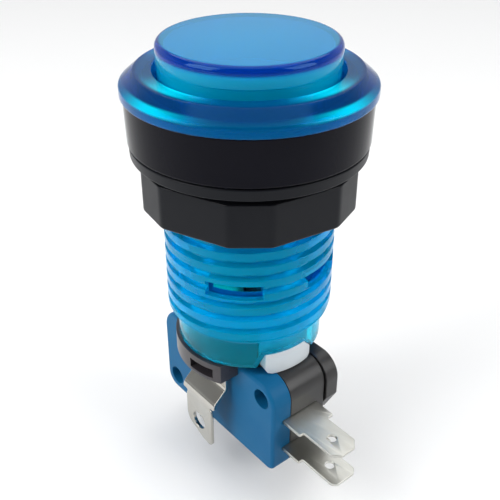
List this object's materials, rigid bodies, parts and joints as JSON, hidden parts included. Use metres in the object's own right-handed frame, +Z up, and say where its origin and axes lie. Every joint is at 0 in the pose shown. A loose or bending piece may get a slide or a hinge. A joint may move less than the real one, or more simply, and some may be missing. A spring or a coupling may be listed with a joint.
{
  "type": "illuminated push button",
  "caption": "Illuminated panel push button for a quiz buzzer: lit cap in a threaded blue housing with collar, washer and nut, over a lamp holder and a snap-action microswitch.",
  "frame": {"origin": "on the barrel's axis, in the plane where the collar rests on the panel", "axes": "+Z up through the cap, +X to the microswitch's two end tabs, +Y to the back of the microswitch"},
  "size_m": [0.041, 0.034, 0.069],
  "materials": {
    "blue_clear": "translucent blue polycarbonate, polished",
    "cap_blue": "translucent light blue acrylic, polished",
    "white_plastic": "milky white nylon, satin",
    "black_gloss": "gloss black",
    "black_satin": "satin black",
    "smoke_plastic": "smoky dark grey",
    "switch_blue": "matt blue",
    "switch_black": "satin black",
    "nickel": "bright nickel plate",
    "tin": "dull tin plate",
    "spring_steel": "drawn steel wire",
    "copper_alloy": "copper alloy strip",
    "contact_silver": "silver contact",
    "lens_clear": "clear lamp lens"
  },
  "bodies": {
    "body": {"housing": "blue_clear", "collar": "black_gloss", "return_spring": "spring_steel", "lamp_holder": "smoke_plastic", "lamp_contact_front": "nickel", "lamp_contact_rear": "nickel", "led_base": "white_plastic", "led_lens": "lens_clear", "led_leads": "nickel", "latch_ring": "white_plastic", "switch_cover": "switch_blue", "switch_case": "switch_black", "nc_terminal": "tin", "no_terminal": "tin", "common_terminal": "tin", "pin_spring": "spring_steel", "switch_bracket": "switch_black"},
    "button": {"cap": "cap_blue", "diffuser": "white_plastic", "plunger": "blue_clear"},
    "pin": {"switch_pin": "white_plastic"},
    "blade": {"contact_blade": "copper_alloy", "moving_contact": "contact_silver"},
    "washer": {"washer": "black_satin"},
    "nut": {"nut": "black_satin"}
  },
  "joints": [
    {"name": "button_press", "type": "slide", "parent": "body", "child": "button", "axis": [0, 0, -1], "range_m": [0, 0.0024], "stiffness_N_per_m": 350, "springref_m": -0.003, "deforming": ["return_spring"]},
    {"name": "switch_pin_press", "type": "slide", "parent": "body", "child": "pin", "axis": [0, 0, -1], "range_m": [0, 0.0024], "deforming": ["pin_spring"]},
    {"name": "contact_blade_swing", "type": "hinge", "parent": "body", "child": "blade", "pos_m": [-0.007, -0.0016, -0.04235], "axis": [0, 1, 0], "range_deg": [0, 4.3]},
    {"name": "nut_travel", "type": "slide", "parent": "body", "child": "washer", "axis": [0, 0, -1], "range_m": [0, 0.0133]},
    {"name": "nut_turn", "type": "hinge", "parent": "washer", "child": "nut", "pos_m": [0, 0, -0.0055], "axis": [0, 0, -1], "range_deg": [0, 2160]}
  ],
  "couplings": [
    {"joint": "switch_pin_press", "follows": "button_press", "ratio": 1},
    {"joint": "contact_blade_swing", "follows": "button_press", "rad_per_m": 30.543},
    {"joint": "nut_travel", "follows": "nut_turn", "m_per_rad": 0.00035014}
  ]
}
